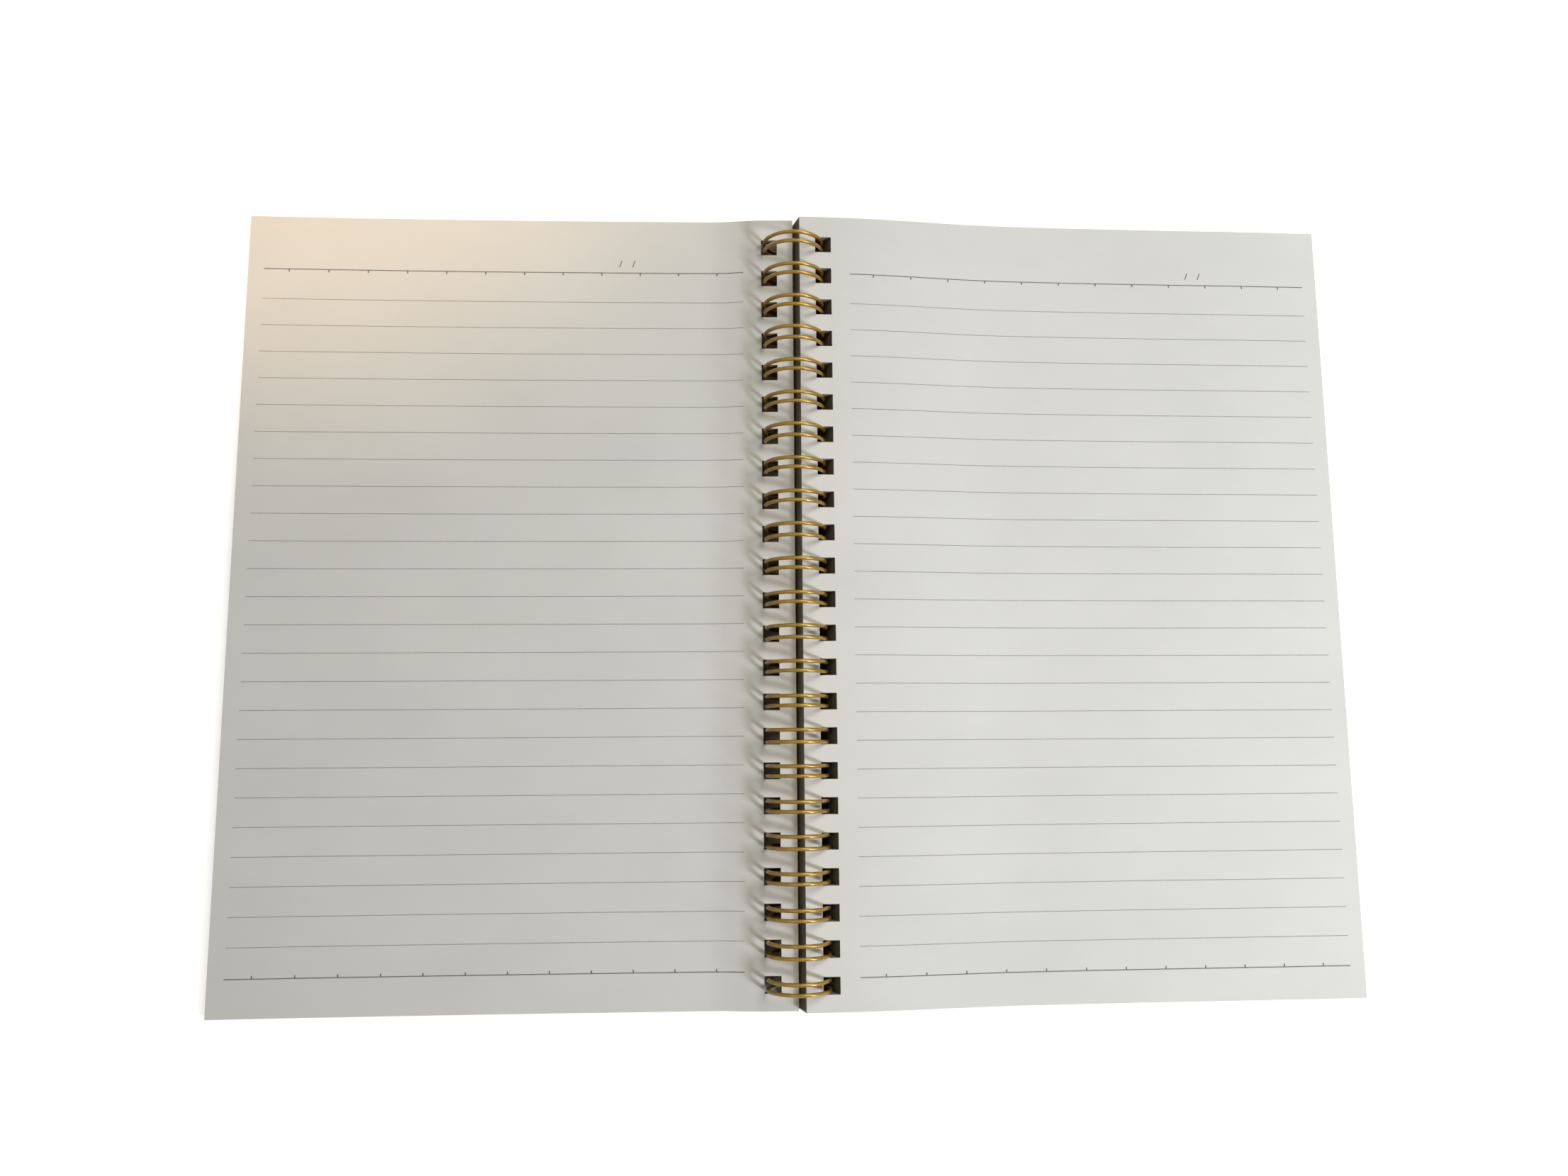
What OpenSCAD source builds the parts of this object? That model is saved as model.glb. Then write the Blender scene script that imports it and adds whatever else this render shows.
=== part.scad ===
// Ruled notebook in a twin-loop wire binding, lying open on a table.
// X runs across the spread, Y up the page, Z up from the table. All lengths are in millimetres.

/* [Leaves] */
// Width of a leaf, from its binding edge to its fore edge
leaf_width = 140; // [100:1:180]
// Height of a leaf, along the wire
leaf_height = 200; // [150:1:240]
// Thickness of the turned leaves, on the left
turned_stack = 1.5; // [0.6:0.1:2]
// Thickness of the unturned leaves, on the right
unturned_stack = 7.2; // [4:0.1:7.6]
// Extra thickness of the unturned leaves where they lie loose at the fore edge
fore_edge_puff = 0.9; // [0:0.1:1.5]

/* [Covers] */
// Thickness of the card of each cover
cover_thickness = 0.7; // [0.4:0.05:0.9]

/* [Punched holes] */
// Side of each square hole
hole_size = 4.1; // [3.95:0.05:4.3]
// Paper left between the holes and the binding edge
hole_margin = 4.1; // [3:0.1:4.3]
// How far the row of holes lies below the middle of the leaf
row_drop = 0.7; // [0:0.1:1]

/* [Twin-loop wire] */
// Largest number of double loops. A shorter page takes only as many as it has room for
loop_count = 23; // [12:1:27]
// Distance from one double loop to the next, three to the inch
loop_pitch = 8.467; // [8.2:0.001:8.6]
// Diameter of the coated wire
wire_diameter = 0.95; // [0.8:0.05:1]
// Outer diameter of the closed loops
ring_diameter = 15.95; // [15.6:0.05:16.6]
// Distance between the two wires of a loop
pair_spacing = 2.35; // [2:0.05:2.6]
// The same distance on every third loop, which the forming tool leaves wider
wide_pair_spacing = 2.9; // [2.4:0.05:2.9]
// Radius of the bends between a loop and its bridges, to the middle of the wire
bridge_bend = 0.7; // [0.55:0.05:0.7]

/* [Lie of the open book] */
// Rise of the left half from its fore edge to the wire
left_rise = 4.6; // [4.2:0.1:4.8]
// Further upward curl of the left half beside the wire
left_curl = 1.3; // [1.1:0.1:1.4]
// Distance over which that curl comes up
left_curl_length = 12; // [8:1:30]
// Distance over which the right half comes down from the wire to the table
right_ramp_length = 50; // [30:1:70]
// How far the left holes lie off the middle of the wire, towards the spine
left_hole_play = 1.25; // [1.15:0.05:1.4]
// How far the top of the right holes lies off the middle of the wire, towards the fore edge
right_hole_play = 0.7; // [0.4:0.05:0.9]

/* [Hidden] */

$fn = 48;

// Ring: the circle that the middle of the wire follows, standing on the table
wire_radius = wire_diameter / 2;
ring_radius = (ring_diameter - wire_diameter) / 2;
ring_height = ring_diameter / 2;

// Clearances
rest_gap = 0.05;
under_cover_clearance = 0.45;
bridge_seat_clearance = 0.1;
bridge_roof_clearance = 0.3;
tip_clearance = 0.1;

// The wire is a trace thicker in its tight bends, and each stretch laps into the next
bend_swell = 0.02;
lap = 0.1;

// Heights beside the spine, from the table up: wire, back cover, bridge of the wire, unturned leaves
back_cover_lift = wire_diameter + under_cover_clearance;
back_cover_top = back_cover_lift + cover_thickness;
bridge_height = back_cover_top + bridge_seat_clearance + wire_radius;
unturned_low = bridge_height + wire_radius + bridge_roof_clearance;
unturned_high = unturned_low + unturned_stack;

// Punched strip: everything from the binding edge to the far side of the holes
punched_strip = hole_margin + hole_size;
edge_to_hole = hole_margin + hole_size / 2;

// Height of the top of the turned leaves at the middle of their holes
turned_hole_high = left_lift(edge_to_hole) + cover_thickness + rest_gap + turned_stack;

// Middles of the holes, measured from the ring's axis
left_hole_x = -(ring_reach(turned_hole_high) - left_hole_play);
right_hole_high_x = ring_reach(unturned_high) + right_hole_play;
right_hole_low_x = ring_reach(unturned_low);
back_hole_x = ring_reach(back_cover_lift + cover_thickness / 2) + 0.1;

// Binding edges
left_edge_x = left_hole_x + edge_to_hole;
right_edge_high_x = right_hole_high_x - edge_to_hole;
right_edge_low_x = right_hole_low_x - edge_to_hole;
back_edge_x = back_hole_x - edge_to_hole;

// The origin is under the middle of the spread, so the ring's axis lies a little to the left of it
ring_shift = -(left_edge_x + right_edge_high_x) / 2;

// Seam of the wire: the bridges lie over the back cover, on the right
seam_angle = -asin((ring_height - bridge_height) / ring_radius);
bend_angle = arc_angle(bridge_bend);

profile_steps = 28;
cut_reach = 2 * ring_diameter;
cut_end_stub = 1;

// Paper left above the first hole and below the last, at least
row_end_margin = 1;

// Double loops that the page has room for
loops = min(loop_count, 1 + floor((leaf_height - 2 * (row_drop + row_end_margin) - hole_size) / loop_pitch));

// Horizontal distance from the ring's axis to the middle of the wire at a height
function ring_reach(z) = sqrt(ring_radius * ring_radius - (z - ring_height) * (z - ring_height));

// Angle that a length takes up along the ring
function arc_angle(length) = length / ring_radius * 180 / PI;

// 1 beside the binding edge, falling smoothly to 0 over a length past the punched strip
function ramp(u, length) = 0.5 + 0.5 * cos(180 * min(1, max(0, (u - punched_strip) / length)));

// Height of the underside of the left half, u from the binding edge
function left_lift(u) = left_rise * pow(max(0, 1 - u / leaf_width), 1.6) + left_curl * ramp(u, left_curl_length);

// Height of the underside of the unturned leaves, u from the binding edge
function unturned_under(u) = let (flat = cover_thickness + rest_gap)
    flat + (unturned_low - flat) * ramp(u, right_ramp_length);

// Extra height of the loose leaves, growing over the outer half of the page
function puff(u) = let (t = max(0, 2 * u / leaf_width - 1)) fore_edge_puff * t * t * (3 - 2 * t);

// Places across a leaf: the binding edge, both sides of the holes, then even steps to the fore edge
function stations() = concat(
    [0, hole_margin, punched_strip],
    [for (i = [1:profile_steps]) punched_strip + (leaf_width - punched_strip) * i / profile_steps]);

function reversed(list) = [for (i = [len(list) - 1:-1:0]) list[i]];

// Place of a loop up the page, the first at the top
function loop_y(k) = ((loops - 1) / 2 - k) * loop_pitch - row_drop;

// Distance between the wires of loop k
function pair(k) = k > 0 && k % 3 == 0 ? wide_pair_spacing : pair_spacing;

// How far the tip's half circle stays back from the bridges, so that it nests between the bends
function tip_setback(k) = let (across = pair(k) / 2 + bridge_bend, apart = across + wire_diameter + tip_clearance)
    sqrt(apart * apart - across * across) - bridge_bend;

// Puts a part, modelled about the ring's axis, into the frame of the whole
module placed() {
    translate([ring_shift, 0, 0]) children();
}

// A plate of one section along the whole height of the page
module plate(section) {
    rotate([90, 0, 0]) linear_extrude(height = leaf_height, center = true) polygon(section);
}

// The row of square punch cuts, leaning from low_x at low_z to high_x at high_z
module punch_row(low_x, low_z, high_x, high_z) {
    lean = (high_x - low_x) / (high_z - low_z);
    foot = low_x - lean * cut_reach;
    head = high_x + lean * cut_reach;
    half = hole_size / 2;
    for (k = [0:loops - 1])
        translate([0, loop_y(k), 0])
            rotate([90, 0, 0])
                linear_extrude(height = hole_size, center = true)
                    polygon([
                        [foot - half, low_z - cut_reach],
                        [foot + half, low_z - cut_reach],
                        [head + half, high_z + cut_reach],
                        [head - half, high_z + cut_reach]
                    ]);
}

// A layer of the left half, from base to base + thickness above its underside
module left_layer(base, thickness) {
    under = [for (u = stations()) [left_edge_x - u, left_lift(u) + base]];
    over = [for (p = under) [p[0], p[1] + thickness]];
    difference() {
        plate(concat(under, reversed(over)));
        punch_row(left_hole_x, 0, left_hole_x, ring_height);
    }
}

module front_cover() {
    color([0.16, 0.155, 0.155]) placed() left_layer(0, cover_thickness);
}

module turned_leaves() {
    color([0.93, 0.92, 0.88]) placed() left_layer(cover_thickness + rest_gap, turned_stack);
}

module unturned_leaves() {
    under = [for (u = stations()) [right_edge_low_x + u, unturned_under(u)]];
    over = [for (u = stations()) [right_edge_high_x + u, unturned_under(u) + unturned_stack + puff(u)]];
    color([0.95, 0.95, 0.93]) placed() difference() {
        plate(concat(under, reversed(over)));
        punch_row(right_hole_low_x, unturned_low, right_hole_high_x, unturned_high);
    }
}

module back_cover() {
    under = [for (u = stations()) [back_edge_x + u, back_cover_lift * ramp(u, right_ramp_length)]];
    over = [for (p = under) [p[0], p[1] + cover_thickness]];
    color([0.16, 0.155, 0.155]) placed() difference() {
        plate(concat(under, reversed(over)));
        punch_row(back_hole_x, 0, back_hole_x, ring_height);
    }
}

// A piece of wire bent round a circle in the XY plane
module bent_wire(radius, from, turn, thickness = wire_radius) {
    rotate_extrude(angle = turn, start = from) translate([radius, 0]) circle(r = thickness);
}

// A tight bend, in the slightly thicker wire
module tight_bend(radius, from, turn) {
    bent_wire(radius, from, turn, wire_radius + bend_swell);
}

// Local frame on the ring: X points back along the wire, Y up the page, Z out from the ring
module on_ring(angle) {
    translate([0, 0, ring_height]) rotate([0, 90 - angle, 0]) translate([0, 0, ring_radius]) children();
}

// One wire of loop k, on the side +1 or -1, with its bend towards the neighbouring loop
module loop_wire(k, side) {
    start = seam_angle + bend_angle;
    finish = seam_angle + 360 - arc_angle(tip_setback(k));
    ends = arc_angle(lap);
    translate([0, side * pair(k) / 2, 0]) {
        translate([0, 0, ring_height]) rotate([90, 0, 0])
            bent_wire(ring_radius, start - ends, finish - start + 2 * ends);
        on_ring(start) translate([0, side * bridge_bend, 0])
            tight_bend(bridge_bend, side > 0 ? -90 : 0, 90);
    }
}

// The closed tip of loop k, a half circle that joins its two wires
module loop_tip(k) {
    on_ring(seam_angle - arc_angle(tip_setback(k))) tight_bend(pair(k) / 2, 90, 180);
}

// A straight length of wire along the page, from y_low to y_high, in line with the bridges
module bridge(y_low, y_high) {
    on_ring(seam_angle + bend_angle)
        translate([bridge_bend, y_high + lap, 0]) rotate([90, 0, 0])
            cylinder(r = wire_radius, h = y_high - y_low + 2 * lap);
}

module twin_loop_wire() {
    color([0.72, 0.53, 0.18]) placed() union() {
        for (k = [0:loops - 1]) {
            outer = pair(k) / 2 + bridge_bend;
            translate([0, loop_y(k), 0]) {
                for (side = [-1, 1]) loop_wire(k, side);
                loop_tip(k);
            }
            if (k == 0) bridge(loop_y(k) + outer, loop_y(k) + outer + cut_end_stub);
            if (k == loops - 1) bridge(loop_y(k) - outer - cut_end_stub, loop_y(k) - outer);
            if (k < loops - 1) bridge(loop_y(k + 1) + pair(k + 1) / 2 + bridge_bend, loop_y(k) - outer);
        }
    }
}

front_cover();
turned_leaves();
unturned_leaves();
back_cover();
twin_loop_wire();
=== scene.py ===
# %% [markdown]
# # A ruled notebook in a twin-loop wire binding
#
# The notebook lies open: a few turned leaves on the left, the rest of the book on the right, and
# a row of gold loops through square holes in between. The CAD model gives every piece its place.
# This lesson dresses it: the solid stacks become real sheets of paper, the pages get their
# printed lines, and paper, card and coated wire get their finishes.

# %% Load the frame
import math
import random

import bpy
from mathutils import Matrix, Vector


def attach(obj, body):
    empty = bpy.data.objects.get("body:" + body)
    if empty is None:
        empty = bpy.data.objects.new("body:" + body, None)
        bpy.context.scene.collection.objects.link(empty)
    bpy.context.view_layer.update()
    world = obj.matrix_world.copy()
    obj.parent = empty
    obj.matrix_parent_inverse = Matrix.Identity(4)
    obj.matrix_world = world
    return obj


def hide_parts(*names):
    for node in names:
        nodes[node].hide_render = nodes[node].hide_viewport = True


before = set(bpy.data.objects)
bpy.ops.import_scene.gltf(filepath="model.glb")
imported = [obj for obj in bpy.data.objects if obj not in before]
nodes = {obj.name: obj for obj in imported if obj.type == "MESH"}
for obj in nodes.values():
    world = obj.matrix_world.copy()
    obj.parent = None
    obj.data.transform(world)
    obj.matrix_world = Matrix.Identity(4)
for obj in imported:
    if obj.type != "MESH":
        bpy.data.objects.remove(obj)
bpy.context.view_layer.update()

MM = 0.001
print("CAD nodes:", sorted(nodes))

# %% [markdown]
# ## The camera
#
# The photo looks down from a little above the bottom half of the spread, with the wide lens of a
# phone held about 30 cm away. The lens, place and turn were found by matching the ruled lines,
# page corners and loops. The turns are written as the world's turn into the camera, so the
# camera's own turn is the inverse, which for a rotation is the transpose.

# %% Camera
photo_width_px, focal_px, sensor_mm = 2212, 1660.2, 36
turn_x, turn_y, turn_z = -0.13908, 0.07727, -0.00358
camera_place = Vector((-26.53, -38.52, 300.34)) * MM

camera_data = bpy.data.cameras.new("camera")
camera_data.sensor_width = sensor_mm
camera_data.lens = sensor_mm * focal_px / photo_width_px
camera = bpy.data.objects.new("camera", camera_data)
bpy.context.scene.collection.objects.link(camera)
world_to_camera = (Matrix.Rotation(turn_z, 3, "Z") @ Matrix.Rotation(turn_y, 3, "Y")
                   @ Matrix.Rotation(turn_x, 3, "X"))
camera.matrix_world = Matrix.Translation(camera_place) @ world_to_camera.transposed().to_4x4()
bpy.context.scene.camera = camera
print("lens, mm:", round(camera_data.lens, 2))

# %% [markdown]
# ## How the paper lies
#
# A leaf is modelled flat first, measured from its binding edge outwards, and then laid in its
# curve. The curves are the CAD model's own: the left half climbs to the wire, the right half
# comes down from the wire to the table, and the binding edges of the thick stack lean because the
# wire is round. Writing them as functions keeps every sheet and every printed line on the same
# surface.

# %% Sizes, in mm
leaf_width, leaf_height = 140.0, 200.0
turned_stack, unturned_stack, fore_edge_puff = 1.5, 7.2, 0.9
cover_thickness, rest_gap = 0.7, 0.05
hole_size, hole_margin = 4.1, 4.1
loop_count, loop_pitch, row_drop = 23, 8.467, 0.7
wire_diameter, ring_diameter = 0.95, 15.95
left_rise, left_bow_power = 4.6, 1.6
left_curl, left_curl_length = 1.3, 12
right_ramp_length = 50
left_hole_play, right_hole_play = 1.25, 0.7
under_cover_clearance, bridge_seat_clearance, bridge_roof_clearance = 0.45, 0.1, 0.3

punched_strip = hole_margin + hole_size
edge_to_hole = hole_margin + hole_size / 2
ring_radius = (ring_diameter - wire_diameter) / 2
ring_height = ring_diameter / 2
bridge_low = wire_diameter + under_cover_clearance + cover_thickness + bridge_seat_clearance
unturned_low = bridge_low + wire_diameter + bridge_roof_clearance
unturned_high = unturned_low + unturned_stack


def ramp(u, length):
    """1 beside the binding edge, falling smoothly to 0 past the punched strip."""
    return 0.5 + 0.5 * math.cos(math.pi * min(1, max(0, (u - punched_strip) / length)))


def left_lift(u):
    """Height of the underside of the left half, u from the binding edge."""
    rise = left_rise * max(0, 1 - u / leaf_width) ** left_bow_power
    return rise + left_curl * ramp(u, left_curl_length)


def ring_reach(z):
    """Distance from the ring's axis to the middle of the wire at a height."""
    return math.sqrt(ring_radius ** 2 - (z - ring_height) ** 2)


# %% Binding edges
turned_hole_high = left_lift(edge_to_hole) + cover_thickness + rest_gap + turned_stack
left_edge = -(ring_reach(turned_hole_high) - left_hole_play) + edge_to_hole
right_edge_high = ring_reach(unturned_high) + right_hole_play - edge_to_hole
right_edge_low = ring_reach(unturned_low) - edge_to_hole
ring_shift = -(left_edge + right_edge_high) / 2
hole_rows = [((loop_count - 1) / 2 - k) * loop_pitch - row_drop for k in range(loop_count)]
edges = (left_edge, right_edge_low, right_edge_high)
print("binding edges, mm:", [round(edge, 2) for edge in edges])


# %% Lay a flat point on either half
def on_left(u, y, layer, lift):
    """layer runs from 0, the bottom sheet, to 1, the top sheet."""
    z = left_lift(u) + cover_thickness + rest_gap + layer * turned_stack + lift
    return Vector((ring_shift + left_edge - u, y, z)) * MM


def on_right(u, y, layer, lift):
    """The same for the thick stack, which puffs up a little over the outer half of the page."""
    flat = cover_thickness + rest_gap
    t = max(0, 2 * u / leaf_width - 1)
    puff = fore_edge_puff * t * t * (3 - 2 * t)
    under = flat + (unturned_low - flat) * ramp(u, right_ramp_length)
    z = under + layer * (unturned_stack + puff) + lift
    x = ring_shift + right_edge_low + layer * (right_edge_high - right_edge_low) + u
    return Vector((x, y, z)) * MM


# %% [markdown]
# ## One leaf
#
# Every leaf in the book is cut and punched alike, so one is modelled and the rest are copies. It
# starts as a plane at full size. Bisect cuts it across where the paper will bend, then cuts only
# the punched strip along the sides of the holes, and the faces inside the holes are deleted.
# Keeping the short cuts out of the rest of the sheet saves most of the faces. Solidify gives the
# paper its thickness, with a hair of air left between neighbours, which is what draws the fine
# lines along the edges of a real stack. Smooth shading hides the cuts in the bend, and the cut
# edges stay sharp.
#
# The leaf has three slots: the page, and two of painted shade, one for what shows inside the holes
# and one for the binding edge. One more cut behind the holes and two near the ends keep the second
# and third off the outer edges.

# %% Helpers for edit mode
def pick_only(obj):
    bpy.ops.object.select_all(action="DESELECT")
    obj.select_set(True)
    bpy.context.view_layer.objects.active = obj


def start_edit(obj):
    pick_only(obj)
    bpy.ops.object.mode_set(mode="EDIT")
    bpy.ops.mesh.select_mode(type="FACE")
    bpy.ops.mesh.select_all(action="SELECT")


def end_edit():
    bpy.ops.object.mode_set(mode="OBJECT")


def pick_faces(obj, wanted):
    """Selects the faces whose centre, in mm, passes the test."""
    bpy.ops.mesh.select_all(action="DESELECT")
    end_edit()
    for face in obj.data.polygons:
        face.select = wanted(face.center / MM)
    bpy.ops.object.mode_set(mode="EDIT")


def apply_all(obj):
    pick_only(obj)
    for modifier in list(obj.modifiers):
        bpy.ops.object.modifier_apply(modifier=modifier.name)


# %% A flat strip
def flat_strip(x_low, x_high, y_middle, height, cuts):
    """A flat plane, cut across at the given places and left in edit mode."""
    bpy.ops.object.select_all(action="DESELECT")
    bpy.ops.mesh.primitive_plane_add(size=MM)
    strip = bpy.context.object
    start_edit(strip)
    bpy.ops.transform.resize(value=(x_high - x_low, height, 1))
    bpy.ops.transform.translate(value=((x_low + x_high) / 2 * MM, y_middle * MM, 0))
    for x in cuts:
        if x_low < x < x_high:
            bpy.ops.mesh.bisect(plane_co=(x * MM, 0, 0), plane_no=(1, 0, 0))
            bpy.ops.mesh.select_all(action="SELECT")
    return strip


# %% Flat leaf
# The second and third slots hold painted shade: the dark hole walls and the binding edge.
paper_and_shade_slots = ("uncoated_paper", "hole_wall_painted_shade", "binding_edge_painted_shade")
wall_shade_slot, edge_shade_slot = 1, 2
shade_past_holes, shade_off_ends = 0.4, 0.3
shaded_strip = punched_strip + shade_past_holes
shaded_half = leaf_height / 2 - shade_off_ends
edge_strip = 0.6 * hole_margin
bend_steps = 28
bent_width = leaf_width - punched_strip
bend_places = [punched_strip + bent_width * i / bend_steps for i in range(1, bend_steps)]
leaf_cuts = [hole_margin, punched_strip, shaded_strip] + bend_places

flat_leaf = flat_strip(0, leaf_width, 0, leaf_height, leaf_cuts)
flat_leaf.name = "flat_leaf"


# %% Punch the leaf
def beside_holes(centre):
    return hole_margin < centre.x < punched_strip


def split_along(obj, y, wanted):
    """Cuts the wanted faces along the leaf's width, at height y."""
    pick_faces(obj, wanted)
    bpy.ops.mesh.bisect(plane_co=(0, y * MM, 0), plane_no=(0, 1, 0))


for side in (-1, 1):
    split_along(flat_leaf, side * shaded_half, lambda c: c.x < shaded_strip)
for row in hole_rows:
    for side in (-1, 1):
        split_along(flat_leaf, row + side * hole_size / 2, beside_holes)
pick_faces(flat_leaf, lambda c: beside_holes(c)
           and any(abs(c.y - row) < hole_size / 2 for row in hole_rows))
bpy.ops.mesh.delete(type="FACE")
end_edit()

# %% Thickness and smooth bends
sheet_thickness = 0.086
smooth_angle = math.radians(35)
for name in paper_and_shade_slots:
    flat_leaf.data.materials.append(bpy.data.materials.new(name))
thickness = flat_leaf.modifiers.new("paper", "SOLIDIFY")
thickness.thickness = sheet_thickness * MM
thickness.offset = 1
apply_all(flat_leaf)
bpy.ops.object.shade_smooth_by_angle(angle=smooth_angle)
print("faces in one leaf:", len(flat_leaf.data.polygons))

# %% [markdown]
# ## The two stacks
#
# The turned leaves are about 15 sheets and the unturned ones about 72, which at a tenth of a
# millimetre a sheet fill the heights of the CAD solids. Each copy is laid at its own level and
# pushed off by a few hundredths of a millimetre, as sheets are in a real book. The copies of one
# stack are joined into one piece, which then replaces the CAD solid.

# %% Stack builder
def lay(mesh, surface, layer, slip=(0, 0)):
    """Moves a flat mesh, in metres, onto a page surface."""
    for vertex in mesh.vertices:
        flat = vertex.co / MM
        vertex.co = surface(flat.x + slip[0], flat.y + slip[1], layer, flat.z)


def shade_binding(mesh, top_sheet):
    """Gives the painted-shade slots to what shows in the holes and along the binding edge."""
    for face in mesh.polygons:
        x, y, _ = face.center / MM
        off_the_page = not top_sheet or abs(face.normal.z) < 0.5
        # Faces in the holes and along the binding edge get the slots of painted shade.
        if x < shaded_strip and abs(y) < shaded_half and off_the_page:
            face.material_index = edge_shade_slot if x < edge_strip else wall_shade_slot


def join(pieces, name):
    pick_only(pieces[0])
    for piece in pieces:
        piece.select_set(True)
    bpy.ops.object.join()
    joined = bpy.context.object
    joined.name = name
    return joined


def stack_of_leaves(name, surface, sheets, seed):
    dice = random.Random(seed)
    copies = []
    for i in range(sheets):
        sheet = flat_leaf.copy()
        sheet.data = flat_leaf.data.copy()
        bpy.context.scene.collection.objects.link(sheet)
        top_sheet = i == sheets - 1
        slip = (0, 0) if top_sheet else [dice.uniform(-most, most) for most in most_slip]
        shade_binding(sheet.data, top_sheet)
        lay(sheet.data, surface, i / sheets, slip)
        copies.append(sheet)
    stack = join(copies, name)
    start_edit(stack)
    bpy.ops.mesh.normals_make_consistent(inside=False)
    end_edit()
    shaded = sum(face.material_index > 0 for face in stack.data.polygons)
    print(name, "sheets:", sheets, "faces:", len(stack.data.polygons), "of them shaded:", shaded)
    return stack


# %% Both stacks
turned_sheets, unturned_sheets = 15, 72
most_slip = (0.08, 0.05)
turned_paper = stack_of_leaves("turned_sheets", on_left, turned_sheets, 3)
unturned_paper = stack_of_leaves("unturned_sheets", on_right, unturned_sheets, 7)
bpy.data.objects.remove(flat_leaf)
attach(turned_paper, "turned_leaves")
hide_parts("turned_leaves")
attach(unturned_paper, "book")
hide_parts("unturned_leaves")

# %% [markdown]
# ## The printed lines
#
# Each page is printed in grey: a stronger line at the head with small ticks every 10 mm,
# hairlines every 7 mm, and a stronger line with ticks at the foot. Above the head line stands a
# plain date field, shown only by its two slanted strokes. The print is modelled as ribbons a
# hundredth of a millimetre above the paper. Ribbons stay crisp at any distance, where a picture
# of the lines would blur. They lie so close that they have to follow the paper as it was cut,
# straight between two cuts: on the true curve, a tick between two cuts would sink under it.

# %% Ribbon builder
print_lift = 0.012


def on_facets(surface):
    """The surface as the leaf is cut: straight from one cut to the next."""
    cuts = [0] + leaf_cuts + [leaf_width]

    def place(u, y, layer, lift):
        beyond = next(i for i, cut in enumerate(cuts) if cut > u)
        before, after = cuts[beyond - 1], cuts[beyond]
        share = (u - before) / (after - before)
        return surface(before, y, layer, lift).lerp(surface(after, y, layer, lift), share)

    return place


def ribbon(x_low, x_high, y, width, surface, lean=0.0):
    """A printed stroke from x_low to x_high on the flat page, laid on the top sheet."""
    stroke = flat_strip(x_low, x_high, y, width, bend_places)
    end_edit()
    for vertex in stroke.data.vertices:
        vertex.co.x += lean * (vertex.co.y - y * MM)
        vertex.co.z = print_lift * MM
    lay(stroke.data, on_facets(surface), 1)
    return stroke


# %% One page of print
rule_count, rule_pitch, rule_width, frame_width = 24, 7.018, 0.14, 0.22
head_gap, foot_gap = 8.05, 7.27
tick_count, tick_pitch, tick_width, tick_length = 12, 10, 0.3, 0.75
slash_pitch, slash_width, slash_length, slash_lift = 3.4, 0.24, 1.75, 2.5


def printed_page(name, surface, x_low, x_high, head_y, first_tick, date_x, lean):
    """x_low and x_high are the ends of the lines, from the binding edge."""
    rules = [head_y - head_gap - rule_pitch * i for i in range(rule_count)]
    foot_y = rules[-1] - foot_gap
    thin = [ribbon(x_low, x_high, y, rule_width, surface) for y in rules]
    bold = [ribbon(x_low, x_high, y, frame_width, surface) for y in (head_y, foot_y)]
    for i in range(tick_count):
        x = first_tick + tick_pitch * i
        for y in (head_y - tick_length / 2, foot_y + tick_length / 2):
            bold.append(ribbon(x - tick_width / 2, x + tick_width / 2, y, tick_length, surface))
    for x in (date_x, date_x + slash_pitch):
        bold.append(ribbon(x - slash_width / 2, x + slash_width / 2, head_y + slash_lift,
                           slash_length, surface, lean))
    fine, strong = join(thin, name + "_rules"), join(bold, name + "_frame_lines")
    print(name, "rules:", len(rules), "foot line at", round(foot_y, 1))
    return fine, strong


# %% Print both pages
left_print = printed_page("left_page", on_left, x_low=12.9, x_high=136.1, head_y=85.82,
                          first_tick=19.7, date_x=41.4, lean=-0.35)
right_print = printed_page("right_page", on_right, x_low=13.0, x_high=136.2, head_y=84.61,
                           first_tick=19.3, date_x=104.2, lean=0.35)
for piece in left_print:
    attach(piece, "turned_leaves")
for piece in right_print:
    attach(piece, "book")

# %% [markdown]
# ## The wire
#
# The wire's shape is right, but its mesh is heavy and made of loose triangles, so the light
# breaks on every facet. A copy is merged, thinned to half and shaded smoothly. It stands for the
# CAD wire.

# %% Lighter wire
merge_mm, kept_share = 0.001, 0.5
gold_loops = nodes["twin_loop_wire"].copy()
gold_loops.data = gold_loops.data.copy()
gold_loops.name = "gold_loops"
bpy.context.scene.collection.objects.link(gold_loops)
start_edit(gold_loops)
bpy.ops.mesh.remove_doubles(threshold=merge_mm * MM)
end_edit()
thinning = gold_loops.modifiers.new("thin", "DECIMATE")
thinning.ratio = kept_share
apply_all(gold_loops)
bpy.ops.object.shade_smooth_by_angle(angle=smooth_angle)
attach(gold_loops, "book")
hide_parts("twin_loop_wire")
cad_faces = len(nodes["twin_loop_wire"].data.polygons)
print("wire faces:", cad_faces, "to", len(gold_loops.data.polygons))

# %% [markdown]
# ## Shared surface effects
#
# Paper, card and coated wire all have a fine unevenness that only the size and strength of it
# tell apart. It is built once, as a node group with its own inputs, and placed in each material
# with its own values. It reads Object coordinates, so the grain stays on the piece when a page
# turns.

# %% Grain group
noise_roughness = 0.6


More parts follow.
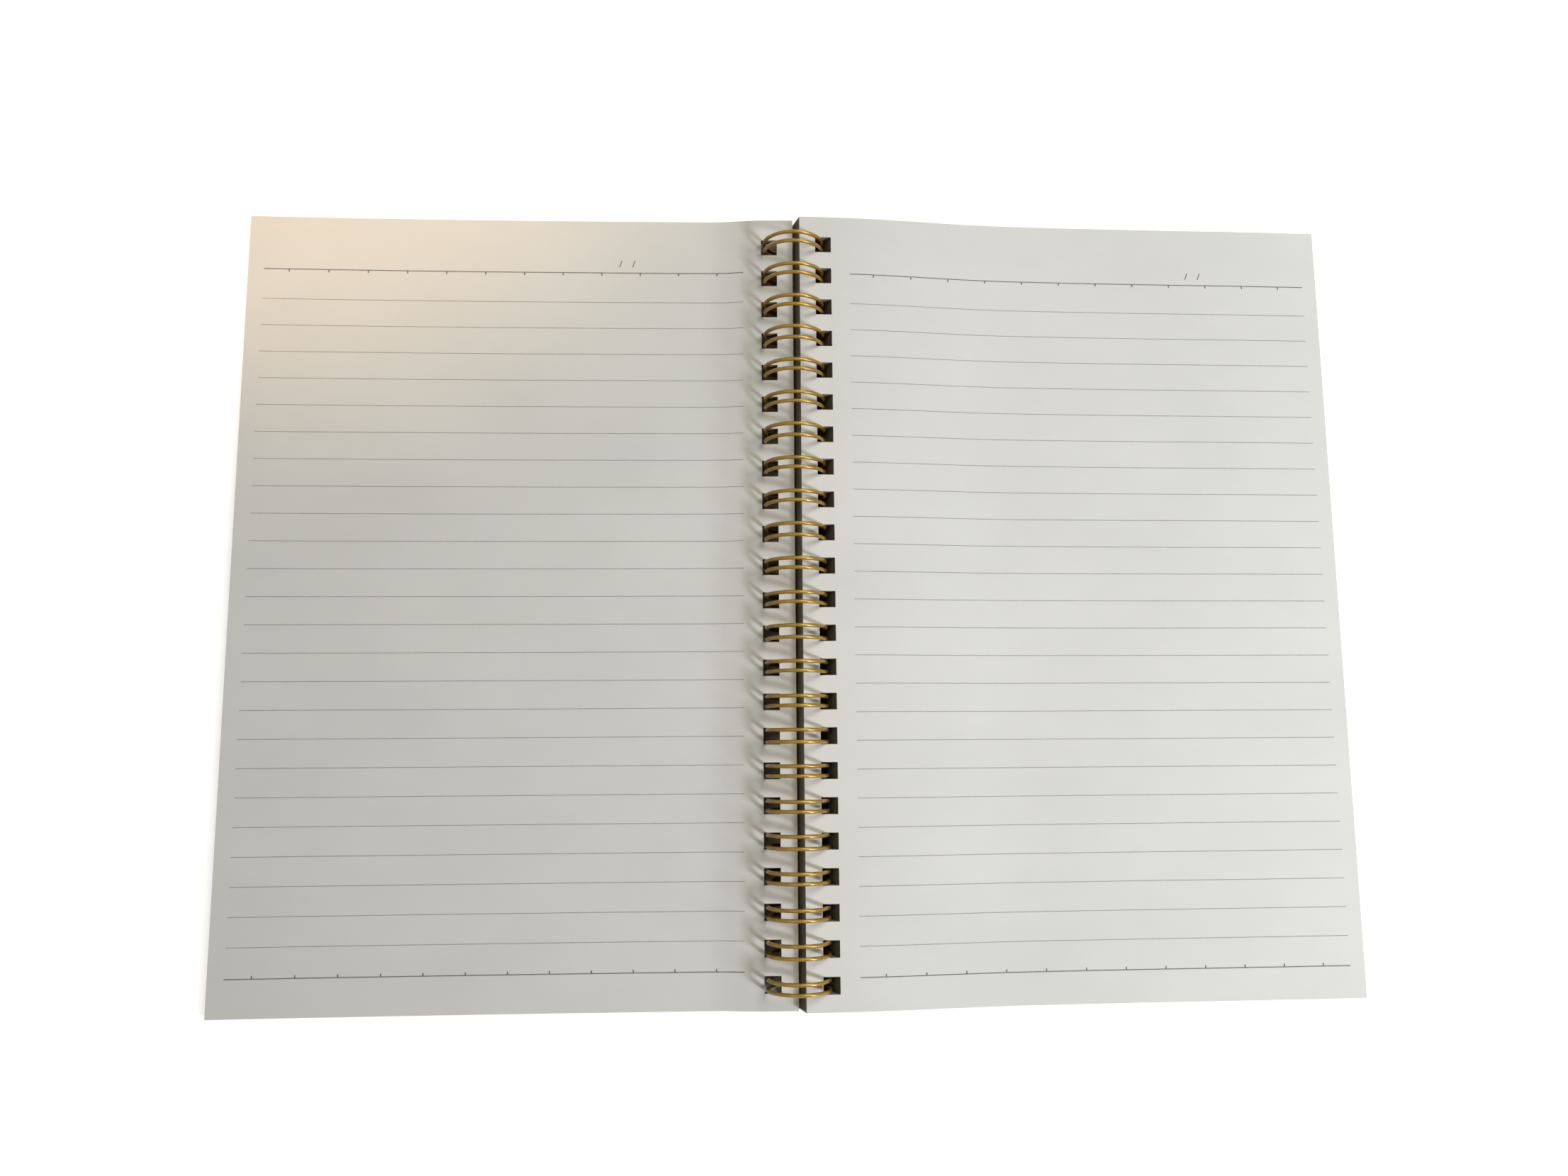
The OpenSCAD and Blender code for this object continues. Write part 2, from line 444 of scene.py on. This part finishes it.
def grain_group():
    group = bpy.data.node_groups.new("surface_grain", "ShaderNodeTree")
    for name, default in (("Tone Size", 30.0), ("Grain Size", 1500.0), ("Stretch", 1.0)):
        socket = group.interface.new_socket(name, in_out="INPUT", socket_type="NodeSocketFloat")
        socket.default_value = default
    for name in ("Tone", "Grain"):
        group.interface.new_socket(name, in_out="OUTPUT", socket_type="NodeSocketFloat")
    make, link = group.nodes.new, group.links.new
    given, out = make("NodeGroupInput"), make("NodeGroupOutput")
    place = make("ShaderNodeTexCoord")
    stretch = make("ShaderNodeCombineXYZ")
    stretch.inputs[0].default_value = stretch.inputs[2].default_value = 1
    link(given.outputs["Stretch"], stretch.inputs[1])
    drawn = make("ShaderNodeVectorMath")
    drawn.operation = "MULTIPLY"
    link(place.outputs["Object"], drawn.inputs[0])
    link(stretch.outputs[0], drawn.inputs[1])
    for source, target, detail in (("Tone Size", "Tone", 3), ("Grain Size", "Grain", 4)):
        noise = make("ShaderNodeTexNoise")
        noise.inputs["Detail"].default_value = detail
        noise.inputs["Roughness"].default_value = noise_roughness
        link(drawn.outputs[0], noise.inputs["Vector"])
        link(given.outputs[source], noise.inputs["Scale"])
        link(noise.outputs[0], out.inputs[target])
    return group


grain = grain_group()


# %% [markdown]
# ## Materials
#
# Each material starts from the Principled BSDF. A small range of tone goes to the colour and a
# fine bump to the normal. Linear colour values are worked out from the usual 0 to 255 ones,
# because that is how a colour is read off a real thing.
#
# The page has one paper tone. The walls of the holes and the binding edge lie in deep shade on the
# real book, deeper than soft studio lamps leave them, so that shade is painted into their colour:
# the hole walls much darker than the page, the binding edge a little darker.

# %% Material builder
ramp_places = (0.3, 0.7)


def linear(colour):
    """A colour given as 0 to 255 in the linear values that a shader takes."""
    return [((c / 255 + 0.055) / 1.055) ** 2.4 if c > 10 else c / 255 / 12.92 for c in colour]


def finish_material(name, dark, light, texture, inputs):
    """A material whose colour wanders between dark and light, with a fine bump.

    texture is the size of the tones, the size and stretch of the grain, and the bump's height in mm
    and strength. inputs are the shader's values that are the same all over.
    """
    tone_size, grain_size, stretch, bump_mm, bump_strength = texture
    material = bpy.data.materials.get(name) or bpy.data.materials.new(name)
    material.use_nodes = True
    tree = material.node_tree
    shader = tree.nodes["Principled BSDF"]
    for socket, value in inputs.items():
        shader.inputs[socket].default_value = value
    effect = tree.nodes.new("ShaderNodeGroup")
    effect.node_tree = grain
    effect.inputs["Tone Size"].default_value = tone_size
    effect.inputs["Grain Size"].default_value = grain_size
    effect.inputs["Stretch"].default_value = stretch
    tone = tree.nodes.new("ShaderNodeValToRGB")
    for i, colour in enumerate((dark, light)):
        tone.color_ramp.elements[i].position = ramp_places[i]
        tone.color_ramp.elements[i].color = (*linear(colour), 1)
    bump = tree.nodes.new("ShaderNodeBump")
    bump.inputs["Distance"].default_value = bump_mm * MM
    bump.inputs["Strength"].default_value = bump_strength
    tree.links.new(effect.outputs["Tone"], tone.inputs[0])
    tree.links.new(tone.outputs[0], shader.inputs["Base Color"])
    tree.links.new(effect.outputs["Grain"], bump.inputs["Height"])
    tree.links.new(bump.outputs[0], shader.inputs["Normal"])
    return material


def dress(obj, material):
    obj.data.materials.clear()
    obj.data.materials.append(material)


# %% Paper
# The stacks already hold these three slots, so they aren't dressed: that would reset their faces.
cut_paper = {"Roughness": 0.9, "Specular IOR Level": 0.1}
finish_material("uncoated_paper", (231, 231, 227), (237, 237, 233), (25, 1400, 1.6, 0.02, 0.5),
                {"Roughness": 0.75, "Specular IOR Level": 0.25})
# Painted shade: the hole walls much darker than the page, the binding edge a little darker.
finish_material("hole_wall_painted_shade", (134, 132, 131), (146, 144, 143), (900, 3000, 1, 0.02, 0.4),
                cut_paper)
finish_material("binding_edge_painted_shade", (224, 222, 219), (234, 232, 229), (900, 3000, 1, 0.02, 0.4),
                cut_paper)

# %% Ink
dry_ink, ink_texture = {"Roughness": 0.8}, (900, 3000, 1, 0.01, 0.1)
ink_thin = finish_material("grey_ink_hairline", (150, 150, 148), (168, 168, 165), ink_texture,
                           dry_ink)
ink_bold = finish_material("grey_ink_frame", (112, 112, 112), (128, 128, 128), ink_texture,
                           dry_ink)
for fine, strong in (left_print, right_print):
    dress(fine, ink_thin)
    dress(strong, ink_bold)

# %% Card covers
card = finish_material("cover_card", (34, 33, 34), (44, 43, 43), (60, 900, 3, 0.05, 0.6),
                       {"Roughness": 0.7})
for name in ("front_cover", "back_cover"):
    dress(nodes[name], card)

# %% Coated wire
gold = finish_material("gold_coated_wire", (151, 115, 18), (164, 127, 25), (200, 900, 1, 0.01, 0.2),
                       {"Metallic": 0.55, "Roughness": 0.26, "Coat Weight": 0.35,
                        "Coat Roughness": 0.12})
dress(gold_loops, gold)

# %% [markdown]
# ## Floor and light
#
# The floor is a plain white sheet. For the camera it adds a little light of its own, so that it
# comes out white where it is lit. The glow stops under the book, where it would shine up through
# the holes.
#
# Two small soft lamps at the lower right throw the shadows of the loops up and to the left, as in
# the photo. A wide one at the upper right evens out the pages, and a weak one at the left opens
# the shadows by the spine. The photo also has a pool of evening light in its upper left corner,
# and a narrow warm spot lamp makes that.

# %% Show white to the camera
def make_math(tree, operation, first, second):
    """A Math node. Each input is a socket or a number."""
    node = tree.nodes.new("ShaderNodeMath")
    node.operation = operation
    for socket, given in zip(node.inputs, (first, second)):
        if isinstance(given, float):
            socket.default_value = given
        else:
            tree.links.new(given, socket)
    return node.outputs[0]


def seen_directly(tree):
    """1 for rays from the camera and for mirror rays, 0 for the light that falls on the book."""
    ray = tree.nodes.new("ShaderNodeLightPath").outputs
    mirrored = make_math(tree, "MAXIMUM", ray["Is Glossy Ray"], ray["Is Transmission Ray"])
    return make_math(tree, "MAXIMUM", ray["Is Camera Ray"], mirrored)


# %% Floor
floor_size, floor_drop, floor_grey, floor_glow = 6, 0.0002, 0.8, 0.72
bpy.ops.object.select_all(action="DESELECT")
bpy.ops.mesh.primitive_plane_add(size=floor_size, location=(0, 0, -floor_drop))
floor = bpy.context.object
floor.name = "floor"
white = bpy.data.materials.new("white_floor")
white.use_nodes = True
tree = white.node_tree
diffuse = tree.nodes["Principled BSDF"]
diffuse.inputs["Base Color"].default_value = (floor_grey, floor_grey, floor_grey, 1)
diffuse.inputs["Roughness"].default_value = 0.9
diffuse.inputs["Emission Color"].default_value = (1, 1, 1, 1)

# %% Keep the floor dark under the thick stack and the loops
covered_x, covered_y = (-0.018, 0.132), 0.098
place = tree.nodes.new("ShaderNodeTexCoord")
apart = tree.nodes.new("ShaderNodeSeparateXYZ")
tree.links.new(place.outputs["Object"], apart.inputs[0])
left_of = make_math(tree, "LESS_THAN", apart.outputs["X"], covered_x[0])
right_of = make_math(tree, "GREATER_THAN", apart.outputs["X"], covered_x[1])
far_up = make_math(tree, "ABSOLUTE", apart.outputs["Y"], 0.0)
outside = make_math(tree, "GREATER_THAN", far_up, covered_y)
for side in (left_of, right_of):
    outside = make_math(tree, "MAXIMUM", outside, side)
glow = make_math(tree, "MULTIPLY", seen_directly(tree), outside)
tree.links.new(make_math(tree, "MULTIPLY", glow, floor_glow), diffuse.inputs["Emission Strength"])
dress(floor, white)


# %% Lamp builders
def lamp(name, kind, place, target, watts, colour):
    data = bpy.data.lights.new(name, kind)
    data.energy = watts
    data.color = colour
    obj = bpy.data.objects.new(name, data)
    bpy.context.scene.collection.objects.link(obj)
    obj.location = place
    obj.rotation_mode = "QUATERNION"
    obj.rotation_quaternion = (Vector(place) - Vector(target)).to_track_quat("Z", "Y")
    return data


def soft_lamp(name, place, target, size, spread, watts, colour):
    """A round soft box. Its light keeps within the spread, in degrees, and thins to the sides."""
    data = lamp(name, "AREA", place, target, watts, colour)
    data.shape = "DISK"
    data.size = size
    data.spread = math.radians(spread)


def window_light(name, place, target, cone, blend, watts, colour):
    """A patch of light with a soft border, cone degrees wide."""
    data = lamp(name, "SPOT", place, target, watts, colour)
    data.spot_size = math.radians(cone)
    data.spot_blend = blend
    data.shadow_soft_size = 0.03


# %% Lamps
daylight, lit_page = (0.97, 0.99, 1.07), (0.12, -0.03, 0)
soft_lamp("key_lamp", (0.60, -0.44, 0.54), lit_page, size=0.15, spread=120, watts=1.66,
          colour=daylight)
soft_lamp("low_lamp", (0.78, -0.48, 0.45), lit_page, size=0.15, spread=120, watts=0.55,
          colour=daylight)
soft_lamp("top_lamp", (0.45, 0.42, 0.75), (0.10, 0.05, 0), size=0.5, spread=120, watts=1.84,
          colour=(0.99, 0.98, 0.91))
window_light("evening_light", (-0.30, 0.40, 0.60), (-0.154, 0.199, 0), cone=25, blend=0.45,
             watts=9.4, colour=(1.0, 0.67, 0.37))
soft_lamp("fill_lamp", (-0.20, 0.05, 0.50), (0.0, -0.03, 0), size=0.3, spread=90, watts=0.06,
          colour=(1.0, 0.84, 0.45))

# %% World
room_light, backdrop_white = 0.05, 0.82
world = bpy.data.worlds.new("studio")
bpy.context.scene.world = world
world.use_nodes = True
tree = world.node_tree
sky = tree.nodes["Background"]
sky.inputs["Color"].default_value = (1, 1, 1, 1)
backdrop = make_math(tree, "MULTIPLY", seen_directly(tree), backdrop_white)
tree.links.new(make_math(tree, "MAXIMUM", backdrop, room_light), sky.inputs["Strength"])
bpy.context.scene.view_settings.view_transform = "Standard"
